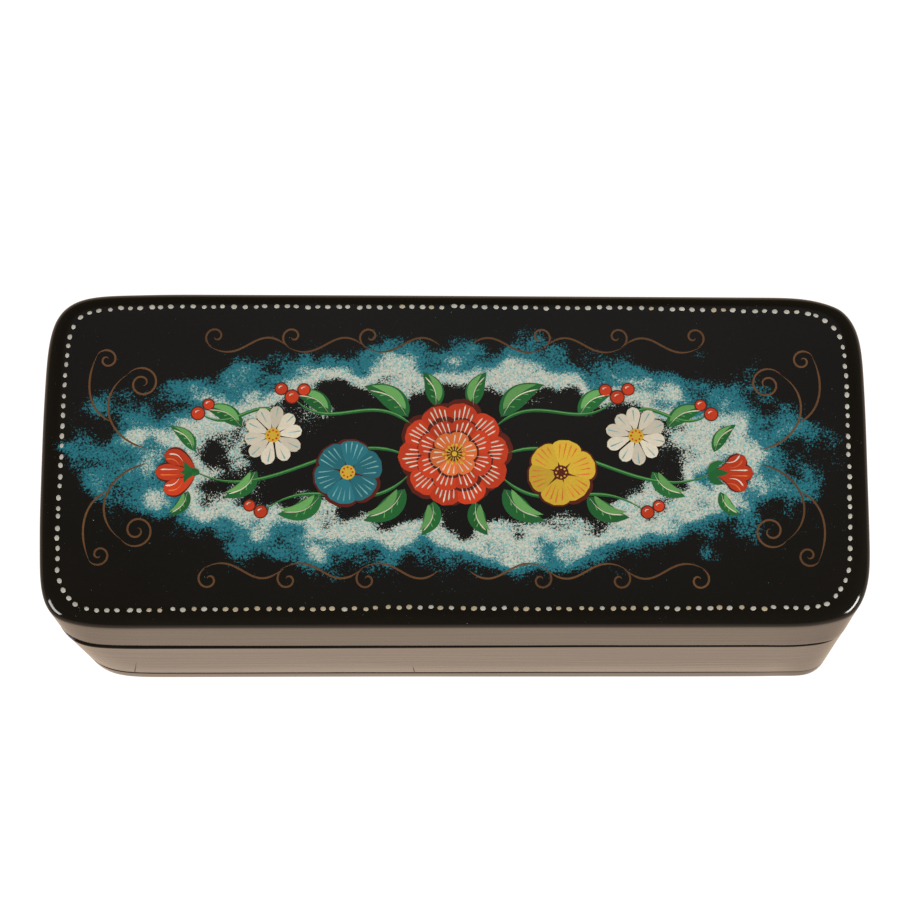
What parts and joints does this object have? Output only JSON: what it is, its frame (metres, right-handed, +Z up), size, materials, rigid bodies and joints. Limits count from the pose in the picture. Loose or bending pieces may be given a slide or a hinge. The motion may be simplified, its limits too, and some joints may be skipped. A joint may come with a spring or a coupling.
{
  "type": "lacquer box",
  "caption": "Long rectangular papier-mache box with rounded corners and a rear-hinged lid, lacquered and painted with a folk flower design.",
  "frame": {"origin": "centre of the bottom face, on the surface the box stands on", "axes": "+X to the right along the length, -Y towards the front edge of the lid, +Z up"},
  "size_m": [0.16, 0.0676, 0.05],
  "materials": {
    "black_lacquer": "gloss",
    "red_lacquer": "gloss",
    "hinge_wire": "satin"
  },
  "bodies": {
    "base": {"bottom_plate": "black_lacquer", "base_wall": "black_lacquer", "locating_lip": "red_lacquer", "base_hinge_strip": "black_lacquer", "hinge_pin": "hinge_wire"},
    "lid": {"lid_wall": "black_lacquer", "lid_top": "black_lacquer", "lid_hinge_strip": "black_lacquer"}
  },
  "joints": [
    {"name": "lid_hinge", "type": "hinge", "parent": "base", "child": "lid", "pos_m": [0, 0.03175, 0.0324], "axis": [-1, 0, 0], "range_deg": [0, 100]}
  ]
}
